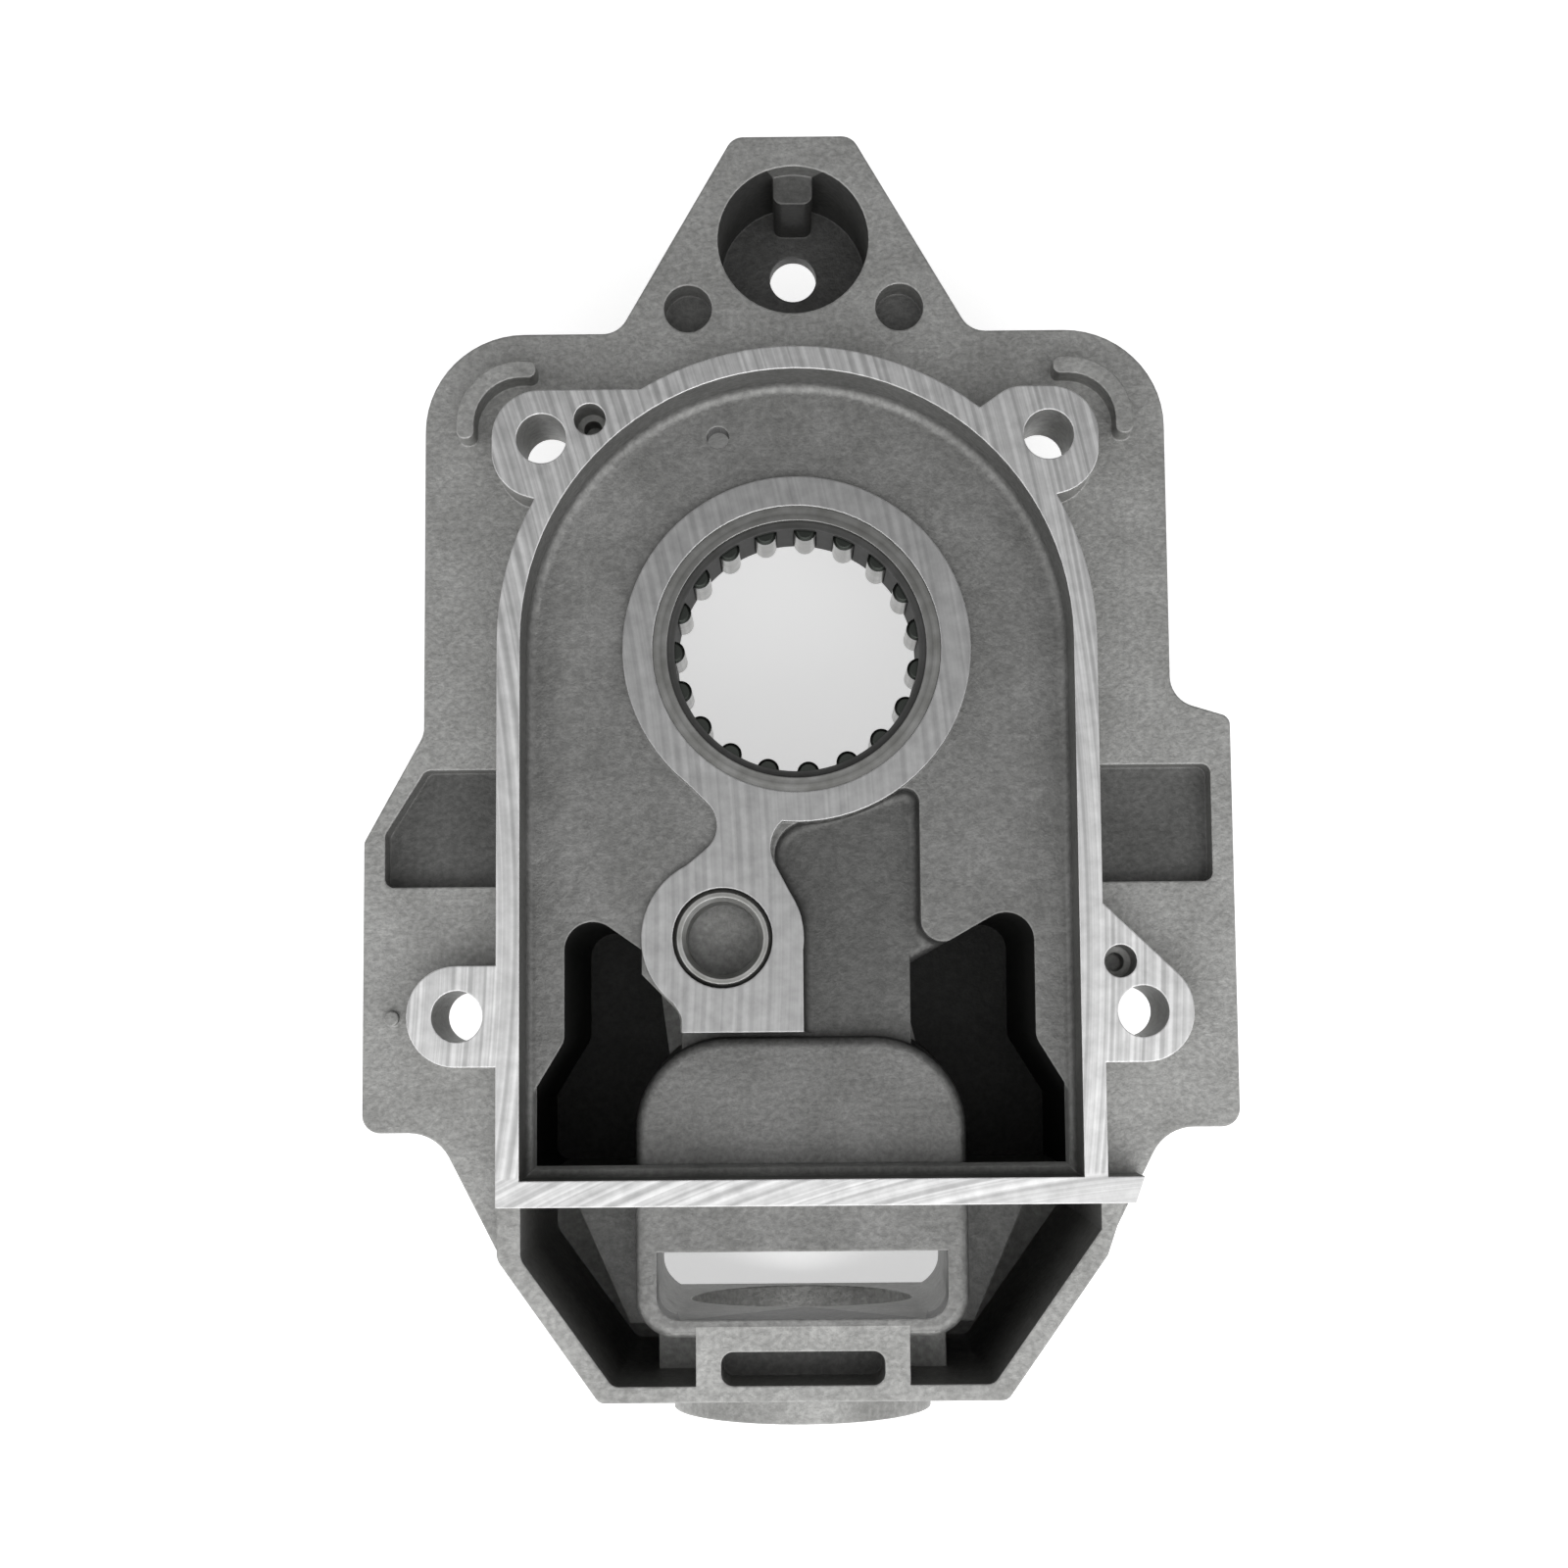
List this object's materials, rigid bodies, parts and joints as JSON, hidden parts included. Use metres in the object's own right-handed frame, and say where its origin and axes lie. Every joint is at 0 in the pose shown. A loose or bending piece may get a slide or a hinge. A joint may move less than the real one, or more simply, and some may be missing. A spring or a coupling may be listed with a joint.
{
  "type": "gearbox housing",
  "caption": "Die cast gear and crank housing with open gear chamber, pressed needle bearing and bush, cylinder port and screw ears.",
  "frame": {"origin": "axis of the crank bearing, at the machined face of its boss", "axes": "+Z out of the open gear side, +Y towards the mounting lobe, -Y towards the cylinder port"},
  "size_m": [0.0954, 0.1441, 0.046],
  "materials": {
    "cast_aluminium": "die cast, matte grey, with milled faces",
    "bearing_steel": "drawn hardened steel",
    "cage_steel": "dark oiled sheet steel",
    "needle_steel": "ground steel",
    "bush_metal": "sintered, dull grey"
  },
  "bodies": {
    "housing": {"gearbox_housing": "cast_aluminium", "needle_bearing_cup": "bearing_steel", "shaft_bush": "bush_metal"},
    "cage": {"needle_cage": "cage_steel"},
    "needle_01": {"needle_roller_01": "needle_steel"},
    "needle_02": {"needle_roller_02": "needle_steel"},
    "needle_03": {"needle_roller_03": "needle_steel"},
    "needle_04": {"needle_roller_04": "needle_steel"},
    "needle_05": {"needle_roller_05": "needle_steel"},
    "needle_06": {"needle_roller_06": "needle_steel"},
    "needle_07": {"needle_roller_07": "needle_steel"},
    "needle_08": {"needle_roller_08": "needle_steel"},
    "needle_09": {"needle_roller_09": "needle_steel"},
    "needle_10": {"needle_roller_10": "needle_steel"},
    "needle_11": {"needle_roller_11": "needle_steel"},
    "needle_12": {"needle_roller_12": "needle_steel"},
    "needle_13": {"needle_roller_13": "needle_steel"},
    "needle_14": {"needle_roller_14": "needle_steel"},
    "needle_15": {"needle_roller_15": "needle_steel"},
    "needle_16": {"needle_roller_16": "needle_steel"},
    "needle_17": {"needle_roller_17": "needle_steel"},
    "needle_18": {"needle_roller_18": "needle_steel"},
    "needle_19": {"needle_roller_19": "needle_steel"}
  },
  "joints": [
    {"name": "cage_spin", "type": "hinge", "parent": "housing", "child": "cage", "pos_m": [0, 0, -0.0063], "axis": [0, 0, 1], "continuous": true},
    {"name": "needle_01_spin", "type": "hinge", "parent": "cage", "child": "needle_01", "pos_m": [0.00108, 0.01368, -0.0063], "axis": [0, 0, 1], "continuous": true},
    {"name": "needle_02_spin", "type": "hinge", "parent": "cage", "child": "needle_02", "pos_m": [-0.00342, 0.01329, -0.0063], "axis": [0, 0, 1], "continuous": true},
    {"name": "needle_03_spin", "type": "hinge", "parent": "cage", "child": "needle_03", "pos_m": [-0.00755, 0.01145, -0.0063], "axis": [0, 0, 1], "continuous": true},
    {"name": "needle_04_spin", "type": "hinge", "parent": "cage", "child": "needle_04", "pos_m": [-0.01086, 0.00838, -0.0063], "axis": [0, 0, 1], "continuous": true},
    {"name": "needle_05_spin", "type": "hinge", "parent": "cage", "child": "needle_05", "pos_m": [-0.01299, 0.0044, -0.0063], "axis": [0, 0, 1], "continuous": true},
    {"name": "needle_06_spin", "type": "hinge", "parent": "cage", "child": "needle_06", "pos_m": [-0.01372, -0.00006, -0.0063], "axis": [0, 0, 1], "continuous": true},
    {"name": "needle_07_spin", "type": "hinge", "parent": "cage", "child": "needle_07", "pos_m": [-0.01296, -0.00451, -0.0063], "axis": [0, 0, 1], "continuous": true},
    {"name": "needle_08_spin", "type": "hinge", "parent": "cage", "child": "needle_08", "pos_m": [-0.01079, -0.00847, -0.0063], "axis": [0, 0, 1], "continuous": true},
    {"name": "needle_09_spin", "type": "hinge", "parent": "cage", "child": "needle_09", "pos_m": [-0.00746, -0.01152, -0.0063], "axis": [0, 0, 1], "continuous": true},
    {"name": "needle_10_spin", "type": "hinge", "parent": "cage", "child": "needle_10", "pos_m": [-0.00331, -0.01331, -0.0063], "axis": [0, 0, 1], "continuous": true},
    {"name": "needle_11_spin", "type": "hinge", "parent": "cage", "child": "needle_11", "pos_m": [0.00119, -0.01367, -0.0063], "axis": [0, 0, 1], "continuous": true},
    {"name": "needle_12_spin", "type": "hinge", "parent": "cage", "child": "needle_12", "pos_m": [0.00556, -0.01254, -0.0063], "axis": [0, 0, 1], "continuous": true},
    {"name": "needle_13_spin", "type": "hinge", "parent": "cage", "child": "needle_13", "pos_m": [0.00933, -0.01006, -0.0063], "axis": [0, 0, 1], "continuous": true},
    {"name": "needle_14_spin", "type": "hinge", "parent": "cage", "child": "needle_14", "pos_m": [0.01209, -0.00648, -0.0063], "axis": [0, 0, 1], "continuous": true},
    {"name": "needle_15_spin", "type": "hinge", "parent": "cage", "child": "needle_15", "pos_m": [0.01354, -0.0022, -0.0063], "axis": [0, 0, 1], "continuous": true},
    {"name": "needle_16_spin", "type": "hinge", "parent": "cage", "child": "needle_16", "pos_m": [0.01352, 0.00231, -0.0063], "axis": [0, 0, 1], "continuous": true},
    {"name": "needle_17_spin", "type": "hinge", "parent": "cage", "child": "needle_17", "pos_m": [0.01204, 0.00658, -0.0063], "axis": [0, 0, 1], "continuous": true},
    {"name": "needle_18_spin", "type": "hinge", "parent": "cage", "child": "needle_18", "pos_m": [0.00925, 0.01013, -0.0063], "axis": [0, 0, 1], "continuous": true},
    {"name": "needle_19_spin", "type": "hinge", "parent": "cage", "child": "needle_19", "pos_m": [0.00546, 0.01259, -0.0063], "axis": [0, 0, 1], "continuous": true}
  ],
  "couplings": [
    {"joint": "needle_01_spin", "follows": "cage_spin", "ratio": -11.976},
    {"joint": "needle_02_spin", "follows": "cage_spin", "ratio": -11.976},
    {"joint": "needle_03_spin", "follows": "cage_spin", "ratio": -11.976},
    {"joint": "needle_04_spin", "follows": "cage_spin", "ratio": -11.976},
    {"joint": "needle_05_spin", "follows": "cage_spin", "ratio": -11.976},
    {"joint": "needle_06_spin", "follows": "cage_spin", "ratio": -11.976},
    {"joint": "needle_07_spin", "follows": "cage_spin", "ratio": -11.976},
    {"joint": "needle_08_spin", "follows": "cage_spin", "ratio": -11.976},
    {"joint": "needle_09_spin", "follows": "cage_spin", "ratio": -11.976},
    {"joint": "needle_10_spin", "follows": "cage_spin", "ratio": -11.976},
    {"joint": "needle_11_spin", "follows": "cage_spin", "ratio": -11.976},
    {"joint": "needle_12_spin", "follows": "cage_spin", "ratio": -11.976},
    {"joint": "needle_13_spin", "follows": "cage_spin", "ratio": -11.976},
    {"joint": "needle_14_spin", "follows": "cage_spin", "ratio": -11.976},
    {"joint": "needle_15_spin", "follows": "cage_spin", "ratio": -11.976},
    {"joint": "needle_16_spin", "follows": "cage_spin", "ratio": -11.976},
    {"joint": "needle_17_spin", "follows": "cage_spin", "ratio": -11.976},
    {"joint": "needle_18_spin", "follows": "cage_spin", "ratio": -11.976},
    {"joint": "needle_19_spin", "follows": "cage_spin", "ratio": -11.976}
  ]
}
